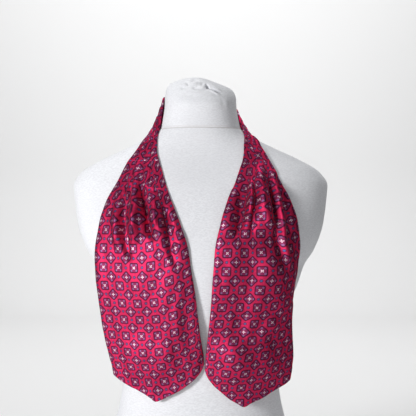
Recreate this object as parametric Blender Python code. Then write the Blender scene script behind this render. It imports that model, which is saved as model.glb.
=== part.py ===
"""Silk cravat with two wide pointed blades and a pleated neckband, laid round a limbless dress form.

The form stands on its flat underside at height 0, its front faces -Y and +X is to the viewer's right.
Lengths in the tables are millimetres; the objects are made in metres.
"""
from collections import namedtuple

import bmesh
import bpy
import numpy as np

MM = 0.001

# The cloth, its distance from the form, and how softly it is pushed clear of it
SILK_THICKNESS = 1.4
CLEARANCE = 0.7
SEAM_GAP = 0.5
PUSH_SOFTNESS = 0.6
PUSH_STEPS = 6
PROBE = 0.4

# The dress form, standing on its base: half width, front depth and back depth at each height
FormSection = namedtuple("FormSection", "height half_width front back")
FORM_SECTIONS = (
    FormSection(0, 158, 92, 106),
    FormSection(40, 157.5, 93, 107),
    FormSection(90, 150, 92, 104),
    FormSection(139, 136, 89, 96),
    FormSection(170, 129, 87.5, 89),
    FormSection(200, 125, 86.5, 82),
    FormSection(238, 124, 87, 76),
    FormSection(280, 129, 92, 78),
    FormSection(320, 143, 102, 84),
    FormSection(359, 158, 111, 92),
    FormSection(385, 167, 114, 96),
    FormSection(408, 182, 113, 98),
    FormSection(448, 197, 105, 98),
    FormSection(489, 203, 90, 94),
    FormSection(513, 205, 80, 90),
    FormSection(534, 192, 70, 82),
    FormSection(553, 161, 62, 74),
    FormSection(571, 122, 57, 68),
    FormSection(582, 99, 55.5, 65),
    FormSection(590, 82, 55, 63),
    FormSection(598, 71, 54, 61),
    FormSection(606, 64.5, 54, 60),
    FormSection(620, 61, 54, 60),
    FormSection(640, 58, 55, 60),
    FormSection(655, 57, 55, 60),
    FormSection(668, 53, 51, 56),
    FormSection(676, 44, 43, 46),
    FormSection(680, 28, 28, 28),
)
FORM_SQUARENESS = 2.2
FORM_AROUND = 36
FORM_LEVELS = (
    0, 30, 60, 90, 115, 139, 170, 200, 238, 280, 320, 352, 385, 412, 440, 465, 489, 502, 513, 524, 534,
    544, 553, 562, 571, 577, 582, 586, 590, 594, 598, 602, 606, 612, 620, 640, 655, 663, 668, 673, 676, 680,
)

# The blades: the two side edges and how far forward the cloth stands, at each height.
# Depths are Y at the outer edge, halfway across and at the inner edge.
BladeSection = namedtuple("BladeSection", "height outer_x inner_x outer_y middle_y inner_y")
LEFT_SECTIONS = (
    BladeSection(549, -113, -64, -53, -57.5, -62),
    BladeSection(519, -127.5, -54, -66, -78, -75),
    BladeSection(488, -144.2, -44, -72, -93, -92),
    BladeSection(457, -155, -31.5, -74, -105, -106),
    BladeSection(412, -161.2, -17.5, -71, -110, -117.5),
    BladeSection(380, -160.4, -13, -71, -111, -118),
    BladeSection(337, -156.3, -6.2, -71, -107, -114),
    BladeSection(306, -152.7, -2.8, -70, -102, -109),
    BladeSection(275, -147.7, 1.2, -70, -97, -103),
    BladeSection(245, -140, 5.3, -70, -92, -98),
    BladeSection(236, -137, 5.9, -70, -91, -97),
    BladeSection(219, -133.3, 4.5, -71, -90, -94),
)
RIGHT_SECTIONS = (
    BladeSection(549, 109, 65.5, -53, -57.5, -62),
    BladeSection(519, 125, 54.5, -67, -78, -75),
    BladeSection(488, 139, 43.5, -75, -93, -92),
    BladeSection(457, 149.5, 33, -77, -104, -106),
    BladeSection(412, 155.5, 22.5, -71, -109, -116.5),
    BladeSection(380, 154, 20.5, -65, -110, -117),
    BladeSection(360, 149, 19, -64, -109, -116),
    BladeSection(337, 145, 17.5, -63, -106, -113),
    BladeSection(306, 145, 14.7, -62, -101, -107),
    BladeSection(275, 146, 11.4, -62, -97, -101),
    BladeSection(245, 145.5, 8.4, -62, -93, -97),
    BladeSection(226, 142.5, 7.8, -63, -91, -95),
    BladeSection(210, 139.5, 9, -64, -90, -93),
)

# The pointed lower edge: how far it drops below the line between the corners, by share of the width
EdgeDrop = namedtuple("EdgeDrop", "share drop")
LEFT_POINT = (
    EdgeDrop(0.0, 0), EdgeDrop(0.06, 6), EdgeDrop(0.17, 15), EdgeDrop(0.29, 22.5), EdgeDrop(0.40, 31),
    EdgeDrop(0.48, 38), EdgeDrop(0.53, 35.5), EdgeDrop(0.62, 29.5), EdgeDrop(0.73, 21.5), EdgeDrop(0.84, 11),
    EdgeDrop(0.91, 3), EdgeDrop(0.97, -7), EdgeDrop(1.0, -18),
)
RIGHT_POINT = (
    EdgeDrop(0.0, 0), EdgeDrop(0.06, 5), EdgeDrop(0.13, 10), EdgeDrop(0.25, 18), EdgeDrop(0.36, 25.5),
    EdgeDrop(0.48, 31.5), EdgeDrop(0.56, 36.5), EdgeDrop(0.64, 31), EdgeDrop(0.73, 24), EdgeDrop(0.83, 13),
    EdgeDrop(0.91, 4), EdgeDrop(0.97, -7), EdgeDrop(1.0, -18),
)

# The folds that open out of the pleats: a line down the blade, its height (a valley's is negative)
# and how far it spreads to either side of the line.
Fold = namedtuple("Fold", "top_height top_x middle_x end_height end_x rise left_width right_width")
LEFT_FOLDS = (
    Fold(520, -113, -131, 415, -128, 3.0, 9, 8),
    Fold(510, -106, -122, 399, -110, -7.0, 9, 9),
    Fold(552, -101, -97, 425, -99, 5.0, 6, 8),
    Fold(505, -92, -82, 431, -70, -6.0, 10, 9),
    Fold(552, -81, -81, 515, -80, 2.5, 5, 4),
    Fold(492, -73, -67, 437, -61, 4.0, 6, 6),
    Fold(482, -57, -49, 392, -38, -4.5, 9, 11),
    Fold(376, -34, -43, 225, -26, -3.0, 18, 14),
)
RIGHT_FOLDS = (
    Fold(548, 72, 67, 437, 58, -7.0, 10, 10),
    Fold(522, 76, 77, 474, 76, 3.0, 4, 4),
    Fold(490, 82, 80, 440, 77, -4.0, 7, 8),
    Fold(540, 86, 92, 450, 103, 4.0, 8, 8),
    Fold(535, 103, 108, 460, 116, -5.0, 6, 5),
    Fold(520, 109, 119, 385, 131, 4.5, 5, 6),
    Fold(445, 110, 115, 385, 120, -3.0, 9, 7),
    Fold(525, 121, 128, 440, 136, -3.5, 7, 7),
    Fold(372, 86, 80, 255, 62, 3.0, 16, 16),
)
# Shares of a fold's length over which it rises and fades, and of its rise left at its two ends
FOLD_FADE_IN = 0.35
FOLD_FADE_OUT = 0.25
FOLD_TOP_LEFT = 0.25
FOLD_END_LEFT = 0.45
# The folds reach their full height this far below the tack line
PLEAT_OPENING = 12.0
# From this share of the way down, the rows bend to the blade's point
POINT_FROM = 0.4
BLADE_ROWS = 36
BLADE_COLUMNS = 28

# The neckband: its upper and lower edges at stations from the left tack line round the nape to the right one.
# Four knife pleats step its outer face; its inner face is plain.
BandStation = namedtuple("BandStation", "upper_x upper_y upper_z lower_x lower_y lower_z")
BAND_STATIONS = (
    BandStation(-64, -62, 549, -113, -53, 549),
    BandStation(-67.5, -53, 566, -103, -44, 562),
    BandStation(-67, -43, 581, -95, -35, 575),
    BandStation(-65, -24, 600, -86.5, -16, 588),
    BandStation(-61, -2, 634, -77.5, 6, 598),
    BandStation(-58, 16, 657, -67.5, 30, 605),
    BandStation(-38, 50, 663, -48, 60, 610),
    BandStation(0, 64, 659, 0, 74, 610),
    BandStation(38, 50, 652, 48, 60, 606),
    BandStation(56.5, 18, 637, 67, 30, 599),
    BandStation(60, -4, 619, 79, 4, 592),
    BandStation(65, -26, 588, 88, -17, 582),
    BandStation(67, -43, 576, 95, -36, 572),
    BandStation(67.7, -53, 565, 102, -45, 561),
    BandStation(65.5, -62, 549, 109, -53, 549),
)
NECK_CENTRE = (0.0, 0.0, 560.0)
BAND_THICKNESS = 1.8
BAND_BULGE = 2.0
BAND_END_SHARE = 0.1
BAND_PLEATS = 4
PLEAT_STEP = 1.1
PLEAT_RISE_SHARE = 0.25
BAND_ALONG = 54
BAND_ACROSS = 13

MaterialLook = namedtuple("MaterialLook", "colour roughness")
SILK_LOOK = MaterialLook((0.46, 0.02, 0.08, 1.0), 0.42)
JERSEY_LOOK = MaterialLook((0.78, 0.77, 0.78, 1.0), 0.9)


def slopes(knots, values):
    """Slope at each knot for a smooth curve that never overshoots its table."""
    steps = np.diff(knots)
    rises = np.diff(values) / steps
    result = np.empty(len(knots))
    result[0] = rises[0]
    result[-1] = rises[-1]
    for i in range(1, len(knots) - 1):
        before, after = rises[i - 1], rises[i]
        if before * after <= 0:
            result[i] = 0.0
        else:
            weight_before = 2 * steps[i] + steps[i - 1]
            weight_after = steps[i] + 2 * steps[i - 1]
            result[i] = (weight_before + weight_after) / (weight_before / before + weight_after / after)
    return result


def smooth(knots, values, at):
    """Read a table at any place, along a smooth curve through its rows."""
    knots = np.asarray(knots, float)
    values = np.asarray(values, float)
    at = np.clip(at, knots[0], knots[-1])
    slope = slopes(knots, values)
    i = np.clip(np.searchsorted(knots, at) - 1, 0, len(knots) - 2)
    step = knots[i + 1] - knots[i]
    u = (at - knots[i]) / step
    start = values[i] * (1 + 2 * u) * (1 - u) ** 2 + slope[i] * step * u * (1 - u) ** 2
    end = values[i + 1] * u * u * (3 - 2 * u) + slope[i + 1] * step * u * u * (u - 1)
    return start + end


def column(table, name):
    return np.array([getattr(row, name) for row in table], float)


def by_height(table, name, height):
    """A blade or form column read at a height, whichever way the table runs."""
    order = np.argsort(column(table, "height"))
    return smooth(column(table, "height")[order], column(table, name)[order], height)


def form_level(points):
    """1 on the form's surface, less inside it and more outside."""
    x, y, z = points[..., 0], points[..., 1], points[..., 2]
    half_width = by_height(FORM_SECTIONS, "half_width", z)
    depth = np.where(y < 0, by_height(FORM_SECTIONS, "front", z), by_height(FORM_SECTIONS, "back", z))
    across = np.abs(x / half_width) ** FORM_SQUARENESS
    along = np.abs(y / depth) ** FORM_SQUARENESS
    return (across + along) ** (1 / FORM_SQUARENESS)


def clear_of_form(points, clearance):
    """Move points that lie closer to the form than the clearance straight out from it, softly."""
    points = points.copy()
    for step in range(PUSH_STEPS):
        gradient = np.empty_like(points)
        for axis in range(3):
            offset = np.zeros(3)
            offset[axis] = PROBE
            gradient[..., axis] = (form_level(points + offset) - form_level(points - offset)) / (2 * PROBE)
        size = np.linalg.norm(gradient, axis=-1, keepdims=True)
        distance = (form_level(points)[..., None] - 1) / size
        short = clearance - distance
        if step == 0:
            move = PUSH_SOFTNESS * np.logaddexp(0, short / PUSH_SOFTNESS)
        else:
            move = np.maximum(short, 0)
        points += gradient / size * move
    return points


def grid_normals(points, outward):
    """Unit normals of a grid of points, turned to the side that outward names."""
    down = np.gradient(points, axis=0)
    across = np.gradient(points, axis=1)
    normals = np.cross(across, down)
    normals /= np.linalg.norm(normals, axis=-1, keepdims=True)
    side = np.sign(np.sum(normals * outward, axis=-1, keepdims=True).mean())
    return normals * side


def fold_relief(folds, x, z):
    """Height of the folds above the blade's plain surface."""
    relief = np.zeros_like(x)
    for fold in folds:
        length = fold.top_height - fold.end_height
        u = np.clip((fold.top_height - z) / length, 0, 1)
        straight = fold.top_x + (fold.end_x - fold.top_x) * u
        bow = fold.middle_x - (fold.top_x + fold.end_x) / 2
        line = straight + bow * 4 * u * (1 - u)
        beyond = np.maximum(z - fold.top_height, fold.end_height - z)
        offset = x - line
        width = np.where(offset < 0, fold.left_width, fold.right_width)
        end_width = (fold.left_width + fold.right_width) / 2
        away = np.sqrt((offset / width) ** 2 + (np.maximum(beyond, 0) / end_width) ** 2)
        profile = np.where(away < 1, np.cos(np.clip(away, 0, 1) * np.pi / 2) ** 2, 0)
        start = np.clip((fold.top_height - z) / (FOLD_FADE_IN * length) + FOLD_TOP_LEFT, 0, 1)
        finish = np.clip((z - fold.end_height) / (FOLD_FADE_OUT * length) + FOLD_END_LEFT, 0, 1)
        relief += fold.rise * profile * start * finish
    return relief


def blade_surface(sections, point, folds, rows, columns):
    """Inner face of a blade: rows run down from the tack line, columns from the outer to the inner edge."""
    down = np.linspace(0, 1, rows)[:, None]
    share = np.linspace(0, 1, columns)[None, :]
    top = sections[0].height - SEAM_GAP
    corner = sections[-1].height
    low = np.clip((down - POINT_FROM) / (1 - POINT_FROM), 0, 1)
    drop = smooth(column(point, "share"), column(point, "drop"), share)
    z = top + (corner - top) * down - drop * low * low * (3 - 2 * low)
    outer_x, inner_x, outer_y, middle_y, inner_y = (
        by_height(sections, name, z) for name in ("outer_x", "inner_x", "outer_y", "middle_y", "inner_y")
    )
    x = outer_x + (inner_x - outer_x) * share
    bow = middle_y - (outer_y + inner_y) / 2
    y = outer_y + (inner_y - outer_y) * share + bow * 4 * share * (1 - share)
    points = np.stack([x, y, z], axis=-1)
    normals = grid_normals(points, np.array([0.0, -1.0, 0.0]))
    opening = np.clip((top - z) / PLEAT_OPENING, 0, 1)
    points = points + normals * (fold_relief(folds, x, z) * opening)[..., None]
    return clear_of_form(points, CLEARANCE)


def pleat_steps(share):
    """Knife pleats across the band: each rises quickly at its folded edge and falls slowly to the next."""
    phase = (share * BAND_PLEATS) % 1.0
    rising = phase / PLEAT_RISE_SHARE
    falling = (1 - phase) / (1 - PLEAT_RISE_SHARE)
    return PLEAT_STEP * np.minimum(rising, falling)


def band_faces(stations, along, across):
    """Inner and outer faces of the neckband, station by station from the left tack line to the right."""
    sides = [
        np.stack([column(stations, side + axis) for axis in "xyz"], axis=-1) for side in ("upper_", "lower_")
    ]
    middles = (sides[0] + sides[1]) / 2
    travelled = np.concatenate([[0], np.cumsum(np.linalg.norm(np.diff(middles, axis=0), axis=1))])
    at = np.linspace(0, travelled[-1], along)
    upper, lower = (
        np.stack([smooth(travelled, side[:, axis], at) for axis in range(3)], axis=-1) for side in sides
    )
    share = np.linspace(0, 1, across)[None, :, None]
    flat = upper[:, None, :] + (lower - upper)[:, None, :] * share
    outward = flat - np.array(NECK_CENTRE)
    normals = grid_normals(flat, outward)
    along_share = np.linspace(0, 1, along)[:, None, None]
    ends = np.clip(np.minimum(along_share, 1 - along_share) / BAND_END_SHARE, 0, 1)
    inner = flat + normals * BAND_BULGE * ends * 4 * share * (1 - share)
    inner = clear_of_form(inner, CLEARANCE)
    normals = grid_normals(inner, outward)
    outer = inner + normals * (BAND_THICKNESS + pleat_steps(share))
    return inner, outer


def closed_shell(inner, outer):
    """One closed mesh from two grids of points, joined round their rim."""
    rows, columns = inner.shape[:2]
    mesh = bmesh.new()
    faces = []
    for grid in (inner, outer):
        faces.append([[mesh.verts.new(grid[i, j] * MM) for j in range(columns)] for i in range(rows)])
    front = faces[1]
    back = faces[0]
    for i in range(rows - 1):
        for j in range(columns - 1):
            mesh.faces.new((front[i][j], front[i + 1][j], front[i + 1][j + 1], front[i][j + 1]))
            mesh.faces.new((back[i][j], back[i][j + 1], back[i + 1][j + 1], back[i + 1][j]))
    rim = [(i, 0) for i in range(rows)]
    rim += [(rows - 1, j) for j in range(1, columns)]
    rim += [(i, columns - 1) for i in range(rows - 2, -1, -1)]
    rim += [(0, j) for j in range(columns - 2, 0, -1)]
    for (i, j), (k, m) in zip(rim, rim[1:] + rim[:1]):
        mesh.faces.new((front[i][j], back[i][j], back[k][m], front[k][m]))
    bmesh.ops.triangulate(mesh, faces=mesh.faces[:])
    bmesh.ops.recalc_face_normals(mesh, faces=mesh.faces[:])
    return mesh


def form_mesh():
    """The dress form: rings at each level, a flat underside and a small flat top."""
    mesh = bmesh.new()
    rings = []
    for level in FORM_LEVELS:
        half_width = float(by_height(FORM_SECTIONS, "half_width", level))
        front = float(by_height(FORM_SECTIONS, "front", level))
        back = float(by_height(FORM_SECTIONS, "back", level))
        ring = []
        for k in range(FORM_AROUND):
            angle = 2 * np.pi * k / FORM_AROUND
            cosine, sine = np.cos(angle), np.sin(angle)
            x = half_width * np.sign(cosine) * abs(cosine) ** (2 / FORM_SQUARENESS)
            depth = back if sine > 0 else front
            y = depth * np.sign(sine) * abs(sine) ** (2 / FORM_SQUARENESS)
            ring.append(mesh.verts.new((x * MM, y * MM, level * MM)))
        rings.append(ring)
    for lower, upper in zip(rings, rings[1:]):
        for k in range(FORM_AROUND):
            following = (k + 1) % FORM_AROUND
            mesh.faces.new((lower[k], lower[following], upper[following], upper[k]))
    mesh.faces.new(rings[0][::-1])
    mesh.faces.new(rings[-1])
    bmesh.ops.recalc_face_normals(mesh, faces=mesh.faces[:])
    return mesh


def material(name, look):
    made = bpy.data.materials.new(name)
    made.use_nodes = True
    shader = made.node_tree.nodes["Principled BSDF"]
    shader.inputs["Base Color"].default_value = look.colour
    shader.inputs["Roughness"].default_value = look.roughness
    return made


def add_object(name, mesh, look_material):
    data = bpy.data.meshes.new(name)
    mesh.to_mesh(data)
    mesh.free()
    data.shade_smooth()
    data.set_sharp_from_angle(angle=np.radians(50))
    data.materials.append(look_material)
    made = bpy.data.objects.new(name, data)
    bpy.context.scene.collection.objects.link(made)
    return made


def blade_mesh(sections, point, folds):
    inner = blade_surface(sections, point, folds, BLADE_ROWS, BLADE_COLUMNS)
    normals = grid_normals(inner, np.array([0.0, -1.0, 0.0]))
    return closed_shell(inner, inner + normals * SILK_THICKNESS)


for old in list(bpy.data.objects):
    bpy.data.objects.remove(old, do_unlink=True)

add_object("dress_form", form_mesh(), material("form_jersey", JERSEY_LOOK))
add_object("blade_left", blade_mesh(LEFT_SECTIONS, LEFT_POINT, LEFT_FOLDS), material("silk_left", SILK_LOOK))
add_object("blade_right", blade_mesh(RIGHT_SECTIONS, RIGHT_POINT, RIGHT_FOLDS),
           material("silk_right", SILK_LOOK))
add_object("neckband", closed_shell(*band_faces(BAND_STATIONS, BAND_ALONG, BAND_ACROSS)),
           material("silk_band", SILK_LOOK))
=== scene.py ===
from collections import namedtuple

import bpy
import numpy as np
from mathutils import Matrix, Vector


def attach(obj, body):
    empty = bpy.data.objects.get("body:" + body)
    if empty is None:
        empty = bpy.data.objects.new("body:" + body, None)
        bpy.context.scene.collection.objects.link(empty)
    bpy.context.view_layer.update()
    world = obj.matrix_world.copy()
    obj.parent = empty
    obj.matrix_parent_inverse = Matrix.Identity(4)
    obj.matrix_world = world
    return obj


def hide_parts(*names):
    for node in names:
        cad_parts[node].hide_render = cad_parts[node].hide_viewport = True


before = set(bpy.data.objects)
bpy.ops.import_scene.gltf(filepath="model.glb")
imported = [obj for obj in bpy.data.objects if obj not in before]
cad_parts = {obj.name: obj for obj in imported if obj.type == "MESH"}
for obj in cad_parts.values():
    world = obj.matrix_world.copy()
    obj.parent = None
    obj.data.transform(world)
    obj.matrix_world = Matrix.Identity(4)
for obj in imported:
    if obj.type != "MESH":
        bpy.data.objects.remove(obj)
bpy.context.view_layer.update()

# Lengths in the tables are millimetres; the objects are made in metres
MM = 0.001


# Dress form
# A limbless neck and torso in white jersey over a hard shell, standing on its flat underside.
# Smooth rings read from a table of sections, its cover gathered on the neck's top and seamed at its foot.

FormSection = namedtuple("FormSection", "height half_width front back")
FORM_SECTIONS = (
    FormSection(0, 158, 92, 106),
    FormSection(40, 157.5, 93, 107),
    FormSection(90, 150, 92, 104),
    FormSection(139, 136, 89, 96),
    FormSection(170, 129, 87.5, 89),
    FormSection(200, 125, 86.5, 82),
    FormSection(238, 124, 87, 76),
    FormSection(280, 129, 92, 78),
    FormSection(320, 143, 102, 84),
    FormSection(359, 158, 111, 92),
    FormSection(385, 167, 114, 96),
    FormSection(408, 182, 113, 98),
    FormSection(448, 197, 105, 98),
    FormSection(489, 203, 90, 94),
    FormSection(513, 205, 80, 90),
    FormSection(534, 192, 70, 82),
    FormSection(553, 161, 62, 74),
    FormSection(571, 122, 57, 68),
    FormSection(582, 99, 55.5, 65),
    FormSection(590, 82, 55, 63),
    FormSection(598, 71, 54, 61),
    FormSection(606, 64.5, 54, 60),
    FormSection(620, 61, 54, 60),
    FormSection(640, 58, 55.5, 60),
    FormSection(655, 57.6, 50, 60),
    FormSection(668, 55.2, 41, 56),
    FormSection(676, 49, 28, 46),
    FormSection(680, 35, 12, 28),
)
FORM_SQUARENESS = 2.2
FORM_AROUND = 320
FORM_HEIGHT = FORM_SECTIONS[-1].height
FORM_BASE_ROUNDING = 3.0
FORM_BASE_LEVELS = (0.0, 0.6, 1.6, FORM_BASE_ROUNDING)
FORM_LEVEL_STEP = 4.0
FORM_TOP_STEP = 1.0
FORM_TOP_FROM = 650.0
TOP_RINGS = (0.86, 0.7, 0.54, 0.38, 0.22, 0.08)
# The neck's top slopes down to the right from a low dome
TOP_DOME = 6.0
TOP_DOME_AT = -9.0
TOP_DOME_WIDTH = 31.0
TOP_DOME_FROM_HEIGHT = 664.0
TOP_SLOPE = 8.0
TOP_SLOPE_FROM = -5.0
TOP_SLOPE_TO = 55.0
TOP_FROM_HEIGHT = 640.0
TOP_WHOLE_HEIGHT = 672.0
# Creases: a bent line from start to end, its height, half width, and the share of its height left at each end
Crease = namedtuple("Crease", "start_x start_z bend_x bend_z end_x end_z rise width at_start at_end")
CREASE_PARTS = 14
CREASE_SQUARENESS = 2.6
CREASE_FADE_IN = 0.35
CREASE_FADE_OUT = 0.4
FAR_AWAY = 1e9
# The cover is gathered at the front of the top: small puffs, a hollow and a crease that runs right from it
NECK_CREASES = (
    Crease(-38, 667, -30, 671, -19, 669, 2.2, 2.0, 0.3, 0.3),
    Crease(-35, 671, -27, 674.5, -20, 672, -2.0, 1.3, 0.2, 0.2),
    Crease(-32, 664.5, -25, 666, -17, 664, -2.2, 1.6, 0.1, 0.1),
    Crease(-24, 674, -20, 671, -18, 667, -2.2, 1.2, 0.2, 0.3),
    Crease(-16, 668, -9, 671.5, -2, 669, 2.2, 2.3, 0.2, 0.2),
    Crease(-15, 672.5, -9, 675, -3, 674, -2.0, 1.3, 0.2, 0.2),
    Crease(-13, 664.5, -6, 664, 0, 663, -1.8, 1.5, 0.1, 0.2),
    Crease(-6, 666, 2, 665, 9, 666, 2.4, 2.0, 0.2, 0.3),
    Crease(-1, 670, 3, 671, 7, 671, -2.0, 1.3, 0.1, 0.4),
    Crease(9.8, 669.3, 10.4, 668.3, 11, 667.3, -8.0, 1.9, 1.0, 1.0),
    Crease(11, 667, 21, 664.5, 35, 659, -3.6, 1.6, 1.0, 0.0),
    Crease(14, 663.5, 22, 660.5, 34, 655, 2.0, 2.2, 0.5, 0.0),
    Crease(16, 671, 25, 669, 36, 664, 1.8, 2.4, 0.4, 0.0),
    Crease(-34, 656, -18, 650, 2, 653, -1.3, 4.5, 0.0, 0.0),
    Crease(33, 652, 35, 642, 36, 632, -0.7, 2.6, 0.0, 0.0),
    Crease(40, 652, 42, 640, 43, 630, 0.8, 2.8, 0.0, 0.0),
    Crease(46, 650, 47, 640, 48, 630, -0.7, 2.6, 0.0, 0.0),
    Crease(-46, 650, -45, 632, -47, 614, 0.7, 3.4, 0.0, 0.0),
)
# The gathers fade out towards the back, and push the cover forward and up
GATHERS_FROM = -4.0
GATHERS_WHOLE = 8.0
GATHERS_FORWARD = 0.8
GATHERS_UP = 0.6
COVER_SEAM_HEIGHT = 602.4
COVER_STITCH_HEIGHT = 605.0
COVER_SEAM_DEPTH = 0.7
COVER_SEAM_WIDTH = 1.3
COVER_SEAM_LEVELS = (-1.5, -1.0, -0.5, 0.0, 0.5, 1.0, 1.5)


def slopes(knots, values):
    """Slope at each knot for a smooth curve that never overshoots its table."""
    steps = np.diff(knots)
    rises = np.diff(values) / steps
    result = np.empty(len(knots))
    result[0] = rises[0]
    result[-1] = rises[-1]
    for i in range(1, len(knots) - 1):
        before, after = rises[i - 1], rises[i]
        if before * after <= 0:
            result[i] = 0.0
        else:
            weight_before = 2 * steps[i] + steps[i - 1]
            weight_after = steps[i] + 2 * steps[i - 1]
            result[i] = (weight_before + weight_after) / (weight_before / before + weight_after / after)
    return result


def smooth(knots, values, at):
    """Read a table at any place, along a smooth curve through its rows."""
    knots = np.asarray(knots, float)
    values = np.asarray(values, float)
    at = np.clip(at, knots[0], knots[-1])
    slope = slopes(knots, values)
    i = np.clip(np.searchsorted(knots, at) - 1, 0, len(knots) - 2)
    step = knots[i + 1] - knots[i]
    u = (at - knots[i]) / step
    start = values[i] * (1 + 2 * u) * (1 - u) ** 2 + slope[i] * step * u * (1 - u) ** 2
    end = values[i + 1] * u * u * (3 - 2 * u) + slope[i + 1] * step * u * u * (u - 1)
    return start + end


def column(table, name):
    return np.array([getattr(row, name) for row in table], float)


def by_height(table, name, height):
    """One column of a table read at a height, whichever way the table runs."""
    order = np.argsort(column(table, "height"))
    return smooth(column(table, "height")[order], column(table, name)[order], height)


def ease(value, low, high):
    """0 below low, 1 above high and a soft step between."""
    u = np.clip((value - low) / (high - low), 0, 1)
    return u * u * (3 - 2 * u)


def bent_line(start, bend, end, share):
    """Place along a line from start to end that bends towards a third point."""
    return start * (1 - share) ** 2 + bend * 2 * share * (1 - share) + end * share ** 2


def crease_relief(creases, x, z):
    """Height of the finer creases, each a soft trough or ridge along its own bent line."""
    relief = np.zeros_like(x)
    for crease in creases:
        t = np.linspace(0, 1, CREASE_PARTS + 1)
        line_x = bent_line(crease.start_x, crease.bend_x, crease.end_x, t)
        line_z = bent_line(crease.start_z, crease.bend_z, crease.end_z, t)
        nearest = np.full_like(x, FAR_AWAY)
        place = np.zeros_like(x)
        for k in range(CREASE_PARTS):
            run_x, run_z = line_x[k + 1] - line_x[k], line_z[k + 1] - line_z[k]
            share = ((x - line_x[k]) * run_x + (z - line_z[k]) * run_z) / (run_x ** 2 + run_z ** 2)
            share = np.clip(share, 0, 1)
            gap = np.hypot(x - line_x[k] - share * run_x, z - line_z[k] - share * run_z)
            closer = gap < nearest
            nearest = np.where(closer, gap, nearest)
            place = np.where(closer, (k + share) / CREASE_PARTS, place)
        profile = np.exp(-((nearest / crease.width) ** CREASE_SQUARENESS))
        first = crease.at_start + (1 - crease.at_start) * ease(place, 0, CREASE_FADE_IN)
        last = crease.at_end + (1 - crease.at_end) * ease(1 - place, 0, CREASE_FADE_OUT)
        relief += crease.rise * profile * first * last
    return relief


def mesh_object(name, points, faces, material):
    """A smooth-shaded object from points in millimetres."""
    data = bpy.data.meshes.new(name)
    data.from_pydata((np.asarray(points) * MM).tolist(), [], faces)
    data.update()
    data.shade_smooth()
    data.materials.append(material)
    made = bpy.data.objects.new(name, data)
    bpy.context.scene.collection.objects.link(made)
    return made


def form_points():
    """Rings of points up the form, then smaller rings over its top."""
    levels = np.sort(np.concatenate([
        FORM_BASE_LEVELS,
        np.arange(2 * FORM_LEVEL_STEP, FORM_TOP_FROM, FORM_LEVEL_STEP),
        np.arange(FORM_TOP_FROM, FORM_HEIGHT + FORM_TOP_STEP / 2, FORM_TOP_STEP),
        COVER_SEAM_HEIGHT + COVER_SEAM_WIDTH * np.array(COVER_SEAM_LEVELS),
    ]))
    angle = np.linspace(0, 2 * np.pi, FORM_AROUND, endpoint=False)[None, :]
    height = np.repeat(levels[:, None], FORM_AROUND, axis=1)
    cosine, sine = np.cos(angle), np.sin(angle)
    half_width = by_height(FORM_SECTIONS, "half_width", height)
    front, back = by_height(FORM_SECTIONS, "front", height), by_height(FORM_SECTIONS, "back", height)
    depth = np.where(sine > 0, back, front)
    inset = FORM_BASE_ROUNDING * (1 - np.sqrt(1 - (1 - np.clip(height / FORM_BASE_ROUNDING, 0, 1)) ** 2))
    inset = inset + COVER_SEAM_DEPTH * np.exp(-((height - COVER_SEAM_HEIGHT) / COVER_SEAM_WIDTH) ** 2)
    x = (half_width - inset) * np.sign(cosine) * np.abs(cosine) ** (2 / FORM_SQUARENESS)
    y = (depth - inset) * np.sign(sine) * np.abs(sine) ** (2 / FORM_SQUARENESS)
    rings = np.stack([x, y, height], axis=-1)
    cap = [rings[-1] * np.array([share, share, 1.0]) for share in TOP_RINGS]
    rings = np.concatenate([rings, cap], axis=0)
    x, y, level = rings[..., 0], rings[..., 1], rings[..., 2]
    near_top = ease(level, TOP_FROM_HEIGHT, TOP_WHOLE_HEIGHT)
    slope = TOP_SLOPE * ease(x, TOP_SLOPE_FROM, TOP_SLOPE_TO) * near_top
    dome = TOP_DOME * np.exp(-(((x - TOP_DOME_AT) / TOP_DOME_WIDTH) ** 2))
    z = level - slope + dome * ease(level, TOP_DOME_FROM_HEIGHT, FORM_HEIGHT)
    gathers = crease_relief(NECK_CREASES, x, level) * ease(-y, GATHERS_FROM, GATHERS_WHOLE)
    y = y - gathers * GATHERS_FORWARD
    z = z + gathers * GATHERS_UP * near_top
    return np.stack([x, y, z], axis=-1)


def ring_faces(count, around):
    """Quads between rings, with a closed underside and top."""
    faces = [tuple(range(around - 1, -1, -1))]
    for i in range(count - 1):
        for k in range(around):
            following = (k + 1) % around
            a, b = i * around, (i + 1) * around
            faces.append((a + k, a + following, b + following, b + k))
    faces.append(tuple((count - 1) * around + k for k in range(around)))
    return faces


def calc(tree, operation, *values):
    """One maths node; values are sockets or numbers."""
    node = tree.nodes.new("ShaderNodeMath")
    node.operation = operation
    for socket, value in zip(node.inputs, values):
        if isinstance(value, (int, float)):
            socket.default_value = value
        else:
            tree.links.new(value, socket)
    return node.outputs[0]


def soft_step(tree, value, low, high):
    """A node that goes from 0 at low to 1 at high."""
    node = tree.nodes.new("ShaderNodeMapRange")
    node.interpolation_type = "SMOOTHSTEP"
    node.inputs["From Min"].default_value = low
    node.inputs["From Max"].default_value = high
    tree.links.new(value, node.inputs["Value"])
    return node.outputs["Result"]


def mix(tree, share, below, above):
    """A colour mix; share is a socket, the colours are sockets or linear values."""
    node = tree.nodes.new("ShaderNodeMix")
    node.data_type = "RGBA"
    tree.links.new(share, node.inputs["Factor"])
    first, second = (s for s in node.inputs if s.type == "RGBA")
    for socket, value in ((first, below), (second, above)):
        if isinstance(value, tuple):
            socket.default_value = (*value, 1.0)
        else:
            tree.links.new(value, socket)
    return next(s for s in node.outputs if s.type == "RGBA")


def bump(tree, height, strength, distance):
    node = tree.nodes.new("ShaderNodeBump")
    node.inputs["Strength"].default_value = strength
    node.inputs["Distance"].default_value = distance
    tree.links.new(height, node.inputs["Height"])
    return node.outputs["Normal"]


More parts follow.
